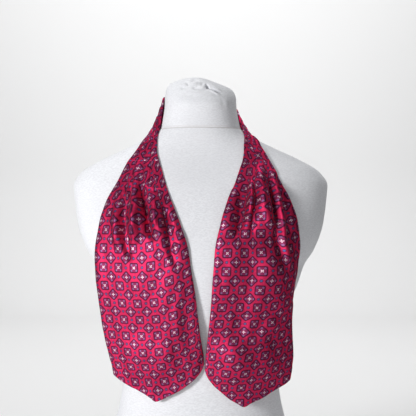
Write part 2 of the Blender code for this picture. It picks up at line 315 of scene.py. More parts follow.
def noise(tree, vector, scale, detail=2.0):
    node = tree.nodes.new("ShaderNodeTexNoise")
    node.inputs["Scale"].default_value = scale
    node.inputs["Detail"].default_value = detail
    tree.links.new(vector, node.inputs["Vector"])
    return node.outputs["Fac"]


JERSEY_WHITE = (0.84, 0.85, 0.88)
# Painted shade in the knit's hollows between rows, and also the darker tone of the random blotches
JERSEY_HOLLOW_SHADE_AND_BLOTCH = (0.74, 0.745, 0.775)
JERSEY_SEAM = (0.55, 0.52, 0.52)
JERSEY_ROWS = 260.0
JERSEY_ROW_HEIGHT = 3.5
JERSEY_FUZZ = 1400.0
JERSEY_BLOTCHES = 9.0
JERSEY_BLOTCH_SHADE = 0.35
JERSEY_FUZZ_SHARE = 0.5
JERSEY_BUMP = 0.35
JERSEY_BUMP_HEIGHT = 0.0006
JERSEY_ROUGHNESS = 0.92
JERSEY_SPECULAR = 0.2
JERSEY_SHEEN = 0.15
JERSEY_SHEEN_ROUGHNESS = 0.6
# Each seam line's height and how dark it is
SEAM_LINES = ((COVER_SEAM_HEIGHT, 0.8), (COVER_STITCH_HEIGHT, 0.3))
SEAM_LINE_OUTER = 0.0012
SEAM_LINE_INNER = 0.0003


def jersey_material():
    made = bpy.data.materials.new("JerseyKnit")
    made.use_nodes = True
    tree = made.node_tree
    shader = tree.nodes["Principled BSDF"]
    place = tree.nodes.new("ShaderNodeTexCoord").outputs["Object"]
    stretch = tree.nodes.new("ShaderNodeMapping")
    stretch.inputs["Scale"].default_value = (1.0, 1.0, JERSEY_ROW_HEIGHT)
    tree.links.new(place, stretch.inputs["Vector"])
    rows = noise(tree, stretch.outputs["Vector"], JERSEY_ROWS, detail=3.0)
    fuzz = noise(tree, place, JERSEY_FUZZ)
    blotch = noise(tree, place, JERSEY_BLOTCHES)
    # Painted shade: where the rows' noise is low, in the same hollows that the bump sinks, the knit is
    # coloured darker
    tone = mix(tree, soft_step(tree, rows, 0.35, 0.65), JERSEY_HOLLOW_SHADE_AND_BLOTCH, JERSEY_WHITE)
    shade = calc(tree, "MULTIPLY", soft_step(tree, blotch, 0.4, 0.7), JERSEY_BLOTCH_SHADE)
    tone = mix(tree, shade, tone, JERSEY_HOLLOW_SHADE_AND_BLOTCH)
    split = tree.nodes.new("ShaderNodeSeparateXYZ")
    tree.links.new(place, split.inputs["Vector"])
    for line_height, strength in SEAM_LINES:
        off_line = calc(tree, "ABSOLUTE", calc(tree, "SUBTRACT", split.outputs["Z"], line_height * MM))
        on_line = soft_step(tree, off_line, SEAM_LINE_OUTER, SEAM_LINE_INNER)
        tone = mix(tree, calc(tree, "MULTIPLY", on_line, strength), tone, JERSEY_SEAM)
    tree.links.new(tone, shader.inputs["Base Color"])
    relief = calc(tree, "ADD", rows, calc(tree, "MULTIPLY", fuzz, JERSEY_FUZZ_SHARE))
    tree.links.new(bump(tree, relief, JERSEY_BUMP, JERSEY_BUMP_HEIGHT), shader.inputs["Normal"])
    shader.inputs["Roughness"].default_value = JERSEY_ROUGHNESS
    shader.inputs["Specular IOR Level"].default_value = JERSEY_SPECULAR
    shader.inputs["Sheen Weight"].default_value = JERSEY_SHEEN
    shader.inputs["Sheen Roughness"].default_value = JERSEY_SHEEN_ROUGHNESS
    return made


form_rings = form_points()
dress_form = mesh_object(
    "DressForm", form_rings.reshape(-1, 3), ring_faces(len(form_rings), FORM_AROUND), jersey_material()
)
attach(dress_form, "root")
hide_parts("dress_form")


# Left blade
# The wide pointed end on the viewer's left, doubled silk folded at its edges and hanging from the pleats.
# A fine grid read from the edge table, with every fold and crease laid one by one, made up as a thin shell.

SILK_THICKNESS = 1.4
# Each edge thins to a share of the thickness, and rolls back a little
EDGE_ROUNDING = 1.3
EDGE_THINNEST = 0.25
EDGE_ROLL = 1.8
ROLL_WIDTH = 2.4
ROLL_WHOLE_BELOW = 40.0
CLEARANCE = 0.7
SEAM_GAP = 0.15
PUSH_SOFTNESS = 0.6
PUSH_STEPS = 6
PROBE = 0.4

BladeSection = namedtuple("BladeSection", "height outer_x inner_x outer_y middle_y inner_y")
LEFT_SECTIONS = (
    BladeSection(549, -113, -64, -53, -57.5, -62),
    BladeSection(519, -127.5, -54, -66, -78, -75),
    BladeSection(488, -144.2, -44, -72, -93, -92),
    BladeSection(457, -155, -31.5, -74, -105, -106),
    BladeSection(412, -161.2, -17.5, -71, -110, -117.5),
    BladeSection(380, -160.4, -13, -71, -111, -118),
    BladeSection(337, -156.3, -6.2, -71, -107, -114),
    BladeSection(306, -152.7, -2.8, -70, -102, -109),
    BladeSection(275, -147.7, 1.2, -70, -97, -103),
    BladeSection(245, -140, 5.3, -70, -92, -98),
    BladeSection(236, -137, 5.9, -70, -91, -97),
    BladeSection(219, -133.3, 4.5, -71, -90, -94),
)
EdgeDrop = namedtuple("EdgeDrop", "share drop")
LEFT_POINT = (
    EdgeDrop(0.0, 0), EdgeDrop(0.06, 6), EdgeDrop(0.17, 15), EdgeDrop(0.29, 22.5), EdgeDrop(0.40, 31),
    EdgeDrop(0.48, 38), EdgeDrop(0.53, 35.5), EdgeDrop(0.62, 29.5), EdgeDrop(0.73, 21.5), EdgeDrop(0.84, 11),
    EdgeDrop(0.91, 3), EdgeDrop(0.97, -7), EdgeDrop(1.0, -18),
)
# Folds that open out of the pleats: a line down the blade, its height and how far it spreads to each side
Fold = namedtuple("Fold", "top_height top_x middle_x end_height end_x rise left_width right_width")
LEFT_FOLDS = (
    Fold(520, -113, -127, 415, -124, 3.0, 9, 8),
    Fold(510, -105, -116, 399, -107, -7.0, 9, 9),
    Fold(552, -101, -97, 425, -99, 5.0, 6, 8),
    Fold(505, -92, -82, 431, -70, -6.0, 10, 9),
    Fold(552, -81, -81, 515, -80, 2.5, 5, 4),
    Fold(492, -73, -67, 437, -61, 4.0, 6, 6),
    Fold(482, -57, -49, 392, -38, -4.5, 9, 11),
    Fold(376, -34, -43, 225, -26, -3.0, 18, 14),
)
FOLD_FADE_IN = 0.35
FOLD_FADE_OUT = 0.25
FOLD_TOP_LEFT = 0.25
FOLD_END_LEFT = 0.45
PLEAT_OPENING = 12.0
POINT_FROM = 0.4

# Broad swells of the hanging cloth, and the finer creases along and beside the folds
LEFT_CREASES = (
    Crease(-92, 520, -90, 470, -84, 425, 8.0, 27, 0.0, 0.0),
    Crease(-100.75, 549, -101.5, 525, -102, 505, -2.0, 1.8, 1.0, 0.2),
    Crease(-100, 530, -99.5, 495, -99, 452, 2.4, 2.4, 0.2, 0.0),
    Crease(-104, 514, -106, 488, -110, 455, -4.0, 4.5, 0.0, 0.4),
    Crease(-112, 466, -115, 436, -108, 406, -3.5, 5.0, 0.2, 0.4),
    Crease(-96, 482, -98, 452, -94, 424, 5.5, 5.0, 0.1, 0.0),
    Crease(-124, 478, -127, 445, -123, 412, 4.0, 4.2, 0.0, 0.0),
    Crease(-88.5, 549, -88, 535, -87, 520, -1.8, 1.8, 1.0, 0.1),
    Crease(-91, 510, -89, 492, -84, 470, -5.0, 5.0, 0.1, 0.5),
    Crease(-83, 486, -80, 462, -78, 440, -7.0, 6.5, 0.3, 0.8),
    Crease(-71, 480, -68, 460, -67, 442, 4.0, 2.8, 0.0, 0.3),
    Crease(-55, 476, -48, 454, -39, 424, -7.5, 6.2, 0.2, 0.4),
    Crease(-62, 470, -58, 452, -55, 434, 3.2, 4.0, 0.0, 0.0),
    Crease(-54, 436, -48, 422, -42, 405, -1.8, 6.0, 0.2, 0.0),
    Crease(-82, 540, -81.5, 531, -81, 520, -1.6, 1.8, 0.4, 0.0),
    Crease(-76.25, 549, -75, 538, -72, 520, -1.8, 1.8, 1.0, 0.0),
    Crease(-107, 549, -111, 534, -116, 516, -1.0, 2.0, 1.0, 0.0),
    Crease(-116, 500, -119, 490, -121, 478, -1.5, 2.4, 0.0, 0.0),
    Crease(-86, 513, -72, 503, -57, 507, -1.8, 2.2, 0.1, 0.0),
    Crease(-84, 505, -72, 496, -60, 500, 1.0, 2.6, 0.0, 0.0),
    Crease(-15.5, 292, -9, 288, -2, 282, -1.3, 3.2, 0.0, 0.8),
    Crease(-30, 345, -26, 320, -17, 300, -0.8, 6.0, 0.0, 0.0),
    Crease(-140, 400, -143, 370, -139, 335, 0.8, 8.0, 0.0, 0.0),
    Crease(-96, 380, -101, 340, -92, 290, 0.7, 12.0, 0.0, 0.0),
    Crease(-40, 395, -45, 312, -37, 235, 7.0, 15.0, 0.0, 0.2),
    Crease(-156, 445, -160, 385, -146, 270, 3.0, 8.0, 0.0, 0.0),
    Crease(-120, 300, -118, 262, -108, 228, -0.6, 10.0, 0.0, 0.0),
    Crease(9, 280, 8, 240, -4, 212, -4.0, 6.5, 0.0, 0.3),
    Crease(-140, 250, -82, 236, -14, 246, 7.0, 32.0, 0.0, 0.0),
)
# Slow waves of the hanging cloth: height, length across and down, and where each starts
Wave = namedtuple("Wave", "height across down start")
LEFT_WAVES = (
    Wave(0.45, 61, 143, 0.4), Wave(0.30, 37, -97, 1.9),
    Wave(0.22, 23, 71, 3.1), Wave(0.15, -17, 41, 0.9),
)
WAVES_FROM_BELOW = 20.0
WAVES_WHOLE_BELOW = 90.0

BLADE_ROWS = 215
BLADE_COLUMNS = 150
RIM_STEPS = (0.0, 0.25, 0.6, 1.0, 1.5, 2.2)

# The print's repeat is about 28 mm: its row number at each height down the blade
PrintRow = namedtuple("PrintRow", "height row")
CLOTH_WIDTH = 157.0
LEFT_ROWS = (
    PrintRow(577, -8.0), PrintRow(549, -7.0), PrintRow(522, -6.0), PrintRow(495, -5.0),
    PrintRow(481.5, -4.5), PrintRow(456.2, -3.5), PrintRow(429, -2.5), PrintRow(400, -1.5),
    PrintRow(371.5, -0.5), PrintRow(344.6, 0.5), PrintRow(319, 1.5), PrintRow(294, 2.5),
    PrintRow(269.3, 3.5), PrintRow(246, 4.5), PrintRow(223.4, 5.5), PrintRow(197.5, 6.5),
    PrintRow(171, 7.5),
)
# Lines where a pleat hides cloth, from the tack line down to where the pleat has opened out
PleatLine = namedtuple("PleatLine", "top_x top_z bend_x end_x end_z at_top lower_down")
LEFT_LINES = (
    PleatLine(-107, 549, -118, -112, 405, 0.0, 1.0),
    PleatLine(-100.75, 549, -102, -101, 425, 1.0, 1.0),
    PleatLine(-88.5, 549, -80, -71, 425, 1.0, 1.1),
    PleatLine(-76.25, 549, -62, -41, 400, 1.0, 1.0),
)
LINE_TOP_WIDTH = 0.8
LINE_END_WIDTH = 2.6
LINE_EVERYWHERE = 0.01
LINE_CHANGES_FROM = 0.05
LINE_CHANGES_TO = 0.35
LEFT_COLUMN_START = -0.65
LEFT_COLUMN_PITCH = 27.0


def form_level(points):
    """1 on the form's surface, less inside it and more outside."""
    x, y, z = points[..., 0], points[..., 1], points[..., 2]
    half_width = by_height(FORM_SECTIONS, "half_width", z)
    depth = np.where(y < 0, by_height(FORM_SECTIONS, "front", z), by_height(FORM_SECTIONS, "back", z))
    across = np.abs(x / half_width) ** FORM_SQUARENESS
    along = np.abs(y / depth) ** FORM_SQUARENESS
    return (across + along) ** (1 / FORM_SQUARENESS)


def clear_of_form(points, clearance):
    """Move points that lie closer to the form than the clearance straight out from it, softly."""
    points = points.copy()
    for step in range(PUSH_STEPS):
        gradient = np.empty_like(points)
        for axis in range(3):
            offset = np.zeros(3)
            offset[axis] = PROBE
            gradient[..., axis] = (form_level(points + offset) - form_level(points - offset)) / (2 * PROBE)
        size = np.linalg.norm(gradient, axis=-1, keepdims=True)
        distance = (form_level(points)[..., None] - 1) / size
        short = clearance - distance
        if step == 0:
            move = PUSH_SOFTNESS * np.logaddexp(0, short / PUSH_SOFTNESS)
        else:
            move = np.maximum(short, 0)
        points += gradient / size * move
    return points


def grid_normals(points, outward):
    """Unit normals of a grid of points, turned to the side that outward names."""
    down = np.gradient(points, axis=0)
    across = np.gradient(points, axis=1)
    normals = np.cross(across, down)
    normals /= np.linalg.norm(normals, axis=-1, keepdims=True)
    side = np.sign(np.sum(normals * outward, axis=-1, keepdims=True).mean())
    return normals * side


def fold_relief(folds, x, z):
    """Height of the folds above the blade's plain surface."""
    relief = np.zeros_like(x)
    for fold in folds:
        length = fold.top_height - fold.end_height
        u = np.clip((fold.top_height - z) / length, 0, 1)
        straight = fold.top_x + (fold.end_x - fold.top_x) * u
        bow = fold.middle_x - (fold.top_x + fold.end_x) / 2
        line = straight + bow * 4 * u * (1 - u)
        beyond = np.maximum(z - fold.top_height, fold.end_height - z)
        offset = x - line
        width = np.where(offset < 0, fold.left_width, fold.right_width)
        end_width = (fold.left_width + fold.right_width) / 2
        away = np.sqrt((offset / width) ** 2 + (np.maximum(beyond, 0) / end_width) ** 2)
        profile = np.where(away < 1, np.cos(np.clip(away, 0, 1) * np.pi / 2) ** 2, 0)
        start = np.clip((fold.top_height - z) / (FOLD_FADE_IN * length) + FOLD_TOP_LEFT, 0, 1)
        finish = np.clip((z - fold.end_height) / (FOLD_FADE_OUT * length) + FOLD_END_LEFT, 0, 1)
        relief += fold.rise * profile * start * finish
    return relief


def wave_relief(waves, x, z):
    relief = np.zeros_like(x)
    for wave in waves:
        relief += wave.height * np.sin(2 * np.pi * (x / wave.across + z / wave.down) + wave.start)
    return relief


def spaced(count, length):
    """Even shares from 0 to 1 with closer ones inside both ends, for a rounded rim."""
    rim = np.array(RIM_STEPS) / length
    return np.concatenate([rim, np.linspace(rim[-1], 1 - rim[-1], count)[1:-1], 1 - rim[::-1]])


BladeCloth = namedtuple("BladeCloth", "inner normals plain share")
TO_FRONT = np.array([0.0, -1.0, 0.0])


def blade_cloth(sections, point, folds, creases, waves):
    """Inner face of a blade, its normals, the same face without folds, and each column's share across."""
    down = spaced(BLADE_ROWS, sections[0].height - sections[-1].height)[:, None]
    share = spaced(BLADE_COLUMNS, CLOTH_WIDTH)[None, :]
    top = sections[0].height - SEAM_GAP
    corner = sections[-1].height
    low = np.clip((down - POINT_FROM) / (1 - POINT_FROM), 0, 1)
    drop = smooth(column(point, "share"), column(point, "drop"), share)
    z = top + (corner - top) * down - drop * low * low * (3 - 2 * low)
    outer_x, inner_x, outer_y, middle_y, inner_y = (
        by_height(sections, name, z) for name in ("outer_x", "inner_x", "outer_y", "middle_y", "inner_y")
    )
    x = outer_x + (inner_x - outer_x) * share
    bow = middle_y - (outer_y + inner_y) / 2
    y = outer_y + (inner_y - outer_y) * share + bow * 4 * share * (1 - share)
    points = np.stack([x, y, z], axis=-1)
    normals = grid_normals(points, TO_FRONT)
    opening = np.clip((top - z) / PLEAT_OPENING, 0, 1)
    relief = fold_relief(folds, x, z) + crease_relief(creases, x, z)
    waving = wave_relief(waves, x, z) * ease(top - z, WAVES_FROM_BELOW, WAVES_WHOLE_BELOW)
    across = np.abs(inner_x - outer_x)
    roll = np.exp(-share * across / ROLL_WIDTH) + np.exp(-(1 - share) * across / ROLL_WIDTH)
    waving = waving - EDGE_ROLL * roll * ease(top - z, 0, ROLL_WHOLE_BELOW)
    folded = clear_of_form(points + normals * (relief * opening + waving)[..., None], CLEARANCE)
    return BladeCloth(folded, grid_normals(folded, TO_FRONT), points, share)


def hidden_share(lines, x, z):
    """How closely each point lies to a line where a pleat hides cloth, by how much that line hides."""
    weight = np.zeros_like(x)
    for line in lines:
        u = np.clip((line.top_z - z) / (line.top_z - line.end_z), 0, 1)
        place = bent_line(line.top_x, line.bend_x, line.end_x, u)
        width = LINE_TOP_WIDTH + (LINE_END_WIDTH - LINE_TOP_WIDTH) * u
        share = line.at_top + (line.lower_down - line.at_top) * ease(u, LINE_CHANGES_FROM, LINE_CHANGES_TO)
        weight += share * np.exp(-(((x - place) / width) ** 2)) / width
    return weight


def column_distance(cloth, lines):
    """Distance across the flat cloth from the outer edge; what a row lacks is hidden at the pleat lines."""
    steps = np.linalg.norm(np.diff(cloth.plain, axis=1), axis=-1)
    seen = steps.sum(axis=1, keepdims=True)
    weight = hidden_share(lines, cloth.plain[..., 0], cloth.plain[..., 2]) + LINE_EVERYWHERE
    weight = (weight[:, 1:] + weight[:, :-1]) / 2 * steps
    weight /= weight.sum(axis=1, keepdims=True)
    steps = steps + weight * np.maximum(CLOTH_WIDTH - seen, 0)
    return np.concatenate([np.zeros((len(steps), 1)), np.cumsum(steps, axis=1)], axis=1)


def shell_object(name, inner, outer, print_map, material):
    """A closed thin shell from two grids of points, with the print's column and row numbers as its UV map."""
    rows, columns = inner.shape[:2]
    points = np.concatenate([outer.reshape(-1, 3), inner.reshape(-1, 3)])
    back = rows * columns
    faces = []
    for i in range(rows - 1):
        for j in range(columns - 1):
            a, b = i * columns + j, (i + 1) * columns + j
            faces.append((a, b, b + 1, a + 1))
            faces.append((back + a, back + a + 1, back + b + 1, back + b))
    rim = [i * columns for i in range(rows)]
    rim += [(rows - 1) * columns + j for j in range(1, columns)]
    rim += [i * columns + columns - 1 for i in range(rows - 2, -1, -1)]
    rim += list(range(columns - 2, 0, -1))
    for a, b in zip(rim, rim[1:] + rim[:1]):
        faces.append((a, back + a, back + b, b))
    made = mesh_object(name, points, faces, material)
    flat = np.concatenate([print_map.reshape(-1, 2)] * 2)
    corners = np.empty(len(made.data.loops), dtype=np.int32)
    made.data.loops.foreach_get("vertex_index", corners)
    layer = made.data.uv_layers.new(name="SilkPrint")
    layer.data.foreach_set("uv", flat[corners].astype(np.float32).ravel())
    return made


def rounded_faces(inner, normals, from_edge, thickness):
    """The two faces of a cloth that thins to a round edge; its thickness is one number or a grid."""
    depth = np.clip(from_edge / EDGE_ROUNDING, 0, 1)
    half = thickness / 2 * (EDGE_THINNEST + (1 - EDGE_THINNEST) * np.sqrt(1 - (1 - depth) ** 2))
    middle = inner + normals * (np.asarray(thickness) / 2)[..., None]
    return middle - normals * half[..., None], middle + normals * half[..., None]


def blade_object(name, cloth, print_map, material):
    rows = cloth.inner.shape[0]
    steps = np.linalg.norm(np.diff(cloth.inner, axis=0), axis=-1)
    below = np.concatenate([np.cumsum(steps[::-1], axis=0)[::-1], np.zeros((1, steps.shape[1]))])
    across = np.linalg.norm(np.diff(cloth.inner, axis=1), axis=-1)
    left = np.concatenate([np.zeros((rows, 1)), np.cumsum(across, axis=1)], axis=1)
    right = left[:, -1:] - left
    from_edge = np.minimum(np.minimum(left, right), below)
    back, front = rounded_faces(cloth.inner, cloth.normals, from_edge, SILK_THICKNESS)
    return shell_object(name, back, front, print_map, material)


# The print's colours and the sizes of its motif, in shares of a repeat
GROUND = (0.64, 0.030, 0.112)
GROUND_NEAR = (0.48, 0.020, 0.080)
OUTLINE = (0.056, 0.017, 0.048)
MOTIF_INSIDE = (0.26, 0.030, 0.098)
LILAC = (0.27, 0.13, 0.28)
PETAL = (0.90, 0.70, 0.78)
DOT = (0.085, 0.115, 0.29)
DOT_RIM = (0.11, 0.010, 0.038)
MOTIF_HALF = 0.258
MOTIF_SQUARENESS = 6.0
OUTLINE_INNER = 0.206
HALO_END = 0.308
CORNER_AT = 0.142
CORNER_SIZE = 0.057
PETAL_AT = 0.052
PETAL_LENGTH = 0.042
PETAL_WIDTH = 0.021
HEART_SIZE = 0.012
DOT_SIZE = 0.071
SOFTNESS = 0.010
PETAL_OUTSIDE = 1.35
PETAL_INSIDE = 0.7
HEART_SHARE = 0.7
DIAGONAL = 0.7071
THREAD_DARK = (0.10, 0.006, 0.025)
THREAD_SHADE = 0.35
THREADS = 620.0
WEAVE = 2200.0
SLUBS = 120.0
SLUB_SHARE = 0.6
SILK_BUMP = 0.25
SILK_BUMP_HEIGHT = 0.0003
SILK_METALLIC = 0.88
SILK_ROUGHNESS = 0.6
SILK_SPECULAR = 0.3
SILK_SPECULAR_TINT = (0.55, 0.2, 0.32, 1.0)
SHEEN_WEIGHT = 0.06
SHEEN_ROUGHNESS = 0.35
SHEEN_TINT = (1.0, 0.55, 0.68, 1.0)


def reach_of(tree, a, b):
    """Distance from the centre, by its two parts."""
    return calc(tree, "SQRT", calc(tree, "ADD", calc(tree, "MULTIPLY", a, a), calc(tree, "MULTIPLY", b, b)))


def turned(tree, a, b):
    """The same place on axes turned by an eighth of a turn."""
    along = calc(tree, "MULTIPLY", calc(tree, "ADD", a, b), DIAGONAL)
    across = calc(tree, "MULTIPLY", calc(tree, "SUBTRACT", b, a), DIAGONAL)
    return along, across


def motif_layers(tree, a, b):
    """Masks of one motif about its centre: near it, outline, inside, corner blobs, petals and heart."""
    size_a, size_b = calc(tree, "ABSOLUTE", a), calc(tree, "ABSOLUTE", b)
    power_a = calc(tree, "POWER", size_a, MOTIF_SQUARENESS)
    power_b = calc(tree, "POWER", size_b, MOTIF_SQUARENESS)
    reach = calc(tree, "POWER", calc(tree, "ADD", power_a, power_b), 1 / MOTIF_SQUARENESS)
    near = soft_step(tree, reach, HALO_END, MOTIF_HALF)
    within = soft_step(tree, reach, MOTIF_HALF + SOFTNESS, MOTIF_HALF - SOFTNESS)
    inside = soft_step(tree, reach, OUTLINE_INNER + SOFTNESS, OUTLINE_INNER - SOFTNESS)
    corner_a = calc(tree, "SUBTRACT", size_a, CORNER_AT)
    corner_b = calc(tree, "SUBTRACT", size_b, CORNER_AT)
    corner = reach_of(tree, corner_a, corner_b)
    blob = soft_step(tree, corner, CORNER_SIZE + SOFTNESS, CORNER_SIZE - SOFTNESS)
    c, d = (calc(tree, "ABSOLUTE", value) for value in turned(tree, a, b))
    petals = []
    for long_way, short_way in ((c, d), (d, c)):
        out = calc(tree, "DIVIDE", calc(tree, "SUBTRACT", long_way, PETAL_AT), PETAL_LENGTH)
        side = calc(tree, "DIVIDE", short_way, PETAL_WIDTH)
        away = calc(tree, "ADD", calc(tree, "MULTIPLY", out, out), calc(tree, "MULTIPLY", side, side))
        petals.append(soft_step(tree, away, PETAL_OUTSIDE, PETAL_INSIDE))
    heart = soft_step(tree, reach_of(tree, a, b), HEART_SIZE + SOFTNESS, HEART_SIZE - SOFTNESS)
    return near, within, inside, blob, calc(tree, "MAXIMUM", *petals), heart


def centred(tree, value, shift):
    """Distance from the nearest whole number, after a shift."""
    moved = calc(tree, "ADD", value, 0.5 - shift)
    return calc(tree, "SUBTRACT", calc(tree, "FRACT", moved), 0.5)


def silk_material(name):
    made = bpy.data.materials.new(name)
    made.use_nodes = True
    tree = made.node_tree
    shader = tree.nodes["Principled BSDF"]
    uv = tree.nodes.new("ShaderNodeUVMap")
    uv.uv_map = "SilkPrint"
    split = tree.nodes.new("ShaderNodeSeparateXYZ")
    tree.links.new(uv.outputs["UV"], split.inputs["Vector"])
    place = tree.nodes.new("ShaderNodeTexCoord").outputs["Object"]
    whole_a, whole_b = centred(tree, split.outputs["X"], 0.0), centred(tree, split.outputs["Y"], 0.0)
    half_a, half_b = centred(tree, split.outputs["X"], 0.5), centred(tree, split.outputs["Y"], 0.5)
    squares = motif_layers(tree, whole_a, whole_b)
    diamonds = motif_layers(tree, *turned(tree, half_a, half_b))
    near, within, inside, blob, petals, heart = (
        calc(tree, "MAXIMUM", one, other) for one, other in zip(squares, diamonds)
    )
    colour = mix(tree, near, GROUND, GROUND_NEAR)
    dot_away = calc(tree, "MINIMUM", reach_of(tree, half_a, whole_b), reach_of(tree, whole_a, half_b))
    dot_edge = soft_step(tree, dot_away, DOT_SIZE + 3 * SOFTNESS, DOT_SIZE)
    dot = soft_step(tree, dot_away, DOT_SIZE, DOT_SIZE - 2 * SOFTNESS)
    colour = mix(tree, dot_edge, colour, DOT_RIM)
    colour = mix(tree, dot, colour, DOT)
    colour = mix(tree, within, colour, OUTLINE)
    colour = mix(tree, inside, colour, MOTIF_INSIDE)
    colour = mix(tree, calc(tree, "MULTIPLY", inside, blob), colour, LILAC)
    colour = mix(tree, calc(tree, "MULTIPLY", inside, petals), colour, PETAL)
    colour = mix(tree, calc(tree, "MULTIPLY", heart, HEART_SHARE), colour, LILAC)
    thread = soft_step(tree, noise(tree, place, THREADS), 0.35, 0.75)
    colour = mix(tree, calc(tree, "MULTIPLY", thread, THREAD_SHADE), colour, THREAD_DARK)
    tree.links.new(colour, shader.inputs["Base Color"])
    weave = noise(tree, place, WEAVE)
    slub = noise(tree, place, SLUBS)
    relief = calc(tree, "ADD", weave, calc(tree, "MULTIPLY", slub, SLUB_SHARE))
    tree.links.new(bump(tree, relief, SILK_BUMP, SILK_BUMP_HEIGHT), shader.inputs["Normal"])
    shader.inputs["Metallic"].default_value = SILK_METALLIC
    shader.inputs["Roughness"].default_value = SILK_ROUGHNESS
    shader.inputs["Specular IOR Level"].default_value = SILK_SPECULAR
    shader.inputs["Specular Tint"].default_value = SILK_SPECULAR_TINT
    shader.inputs["Sheen Weight"].default_value = SHEEN_WEIGHT
    shader.inputs["Sheen Roughness"].default_value = SHEEN_ROUGHNESS
    shader.inputs["Sheen Tint"].default_value = SHEEN_TINT
    return made


silk = silk_material("FoulardSilk")

# The print's rows lift towards the inner edge
LEFT_LIFT = 19.0
LEFT_LIFT_FROM = 0.37
LEFT_LIFT_SPAN = 0.55
LEFT_LIFT_POWER = 2.1

left_cloth = blade_cloth(LEFT_SECTIONS, LEFT_POINT, LEFT_FOLDS, LEFT_CREASES, LEFT_WAVES)
left_lift = LEFT_LIFT * (np.maximum(left_cloth.share - LEFT_LIFT_FROM, 0) / LEFT_LIFT_SPAN) ** LEFT_LIFT_POWER
left_print = np.stack([
    LEFT_COLUMN_START + column_distance(left_cloth, LEFT_LINES) / LEFT_COLUMN_PITCH,
    by_height(LEFT_ROWS, "row", left_cloth.plain[..., 2] - left_lift),
], axis=-1)
blade_left = blade_object("BladeLeft", left_cloth, left_print, silk)
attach(blade_left, "root")
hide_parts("blade_left")


# Right blade
# The wide pointed end on the viewer's right, made like the left one with its own edges, folds and creases.
# Its folds are deeper near the pleats, and its outer edge rolls back.

RIGHT_SECTIONS = (
    BladeSection(549, 109, 65.5, -53, -57.5, -62),
    BladeSection(519, 125, 54.5, -67, -78, -75),
    BladeSection(488, 139, 43.5, -75, -93, -92),
    BladeSection(457, 149.5, 33, -77, -104, -106),
    BladeSection(412, 155.5, 22.5, -71, -109, -116.5),
    BladeSection(380, 154, 20.5, -65, -110, -117),
    BladeSection(360, 149, 19, -64, -109, -116),
    BladeSection(337, 145, 17.5, -63, -106, -113),
    BladeSection(306, 145, 14.7, -62, -101, -107),
    BladeSection(275, 146, 11.4, -62, -97, -101),
    BladeSection(245, 145.5, 8.4, -62, -93, -97),
    BladeSection(226, 142.5, 7.8, -63, -91, -95),
    BladeSection(210, 139.5, 9, -64, -90, -93),
)
RIGHT_POINT = (
    EdgeDrop(0.0, 0), EdgeDrop(0.06, 5), EdgeDrop(0.13, 10), EdgeDrop(0.25, 18), EdgeDrop(0.36, 25.5),
    EdgeDrop(0.48, 31.5), EdgeDrop(0.56, 36.5), EdgeDrop(0.64, 31), EdgeDrop(0.73, 24), EdgeDrop(0.83, 13),
    EdgeDrop(0.91, 4), EdgeDrop(0.97, -7), EdgeDrop(1.0, -18),
)
RIGHT_FOLDS = (
    Fold(548, 72, 67, 437, 58, -7.0, 10, 10),
    Fold(522, 76, 77, 474, 76, 3.0, 4, 4),
    Fold(490, 82, 80, 440, 77, -4.0, 7, 8),
    Fold(540, 86, 92, 450, 103, 4.0, 8, 8),
    Fold(535, 103, 108, 460, 116, -5.0, 6, 5),
    Fold(520, 109, 119, 385, 131, 4.5, 5, 6),
    Fold(445, 110, 115, 385, 120, -3.0, 9, 7),
    Fold(525, 121, 128, 440, 136, -3.5, 7, 7),
    Fold(372, 86, 80, 255, 62, 3.0, 16, 16),
)
RIGHT_CREASES = (
    Crease(96, 515, 101, 470, 105, 415, 8.0, 21, 0.0, 0.0),
    Crease(98.1, 549, 100, 532, 102, 515, -1.8, 1.8, 1.0, 0.2),
    Crease(104, 535, 111, 478, 120, 395, -7.0, 4.6, 0.3, 0.2),
    Crease(111, 528, 120, 478, 131, 395, 6.0, 3.8, 0.1, 0.0),
    Crease(87.25, 549, 86, 532, 84, 510, -1.8, 1.8, 1.0, 0.1),
    Crease(92, 540, 94, 515, 97, 470, 4.0, 4.2, 0.1, 0.0),
    Crease(76.4, 549, 75, 530, 73, 505, -2.0, 2.0, 1.0, 0.2),
    Crease(77, 545, 68, 495, 56, 442, -8.0, 11.0, 0.3, 0.4),
    Crease(52, 515, 44, 475, 36, 430, 5.0, 11.0, 0.0, 0.0),
    Crease(78, 526, 78, 500, 76, 468, 5.5, 3.0, 0.1, 0.0),
    Crease(85, 508, 85, 482, 82, 454, -5.0, 4.6, 0.2, 0.3),
    Crease(115, 470, 118, 440, 126, 410, -1.3, 2.4, 0.0, 0.0),
    Crease(120, 525, 132, 480, 137, 440, -6.0, 4.8, 0.3, 0.1),
    Crease(106, 549, 113, 535, 120, 518, -1.0, 2.2, 1.0, 0.0),
    Crease(66, 345, 74, 310, 60, 262, 1.6, 11.0, 0.0, 0.0),
    Crease(100, 305, 112, 262, 122, 222, -2.2, 10.0, 0.0, 0.3),
    Crease(128, 330, 124, 290, 130, 245, -1.4, 8.0, 0.0, 0.0),
    Crease(40, 400, 46, 360, 40, 320, 0.7, 10.0, 0.0, 0.0),
    Crease(112, 440, 114, 372, 104, 270, 13.5, 26.0, 0.0, 0.0),
    Crease(34, 290, 52, 242, 68, 196, 6.0, 19.0, 0.0, 0.3),
    Crease(18, 240, 80, 230, 142, 252, 7.0, 32.0, 0.0, 0.0),
    Crease(118, 314, 99, 293, 70, 254, 6.5, 9.5, 0.1, 0.1),
    Crease(66, 326, 62, 300, 54, 268, -4.0, 11.0, 0.0, 0.0),
    Crease(15, 405, 13, 360, 9, 315, 3.0, 13.0, 0.0, 0.0),
    Crease(151, 445, 156, 395, 146, 335, -4.0, 6.5, 0.0, 0.4),
    Crease(144, 330, 147, 290, 144, 235, -3.0, 6.0, 0.4, 0.4),
)
RIGHT_WAVES = (
    Wave(0.45, -57, 137, 1.3), Wave(0.32, 41, 101, 0.2),
    Wave(0.22, -25, 67, 2.2), Wave(0.15, 19, 43, 4.0),
)
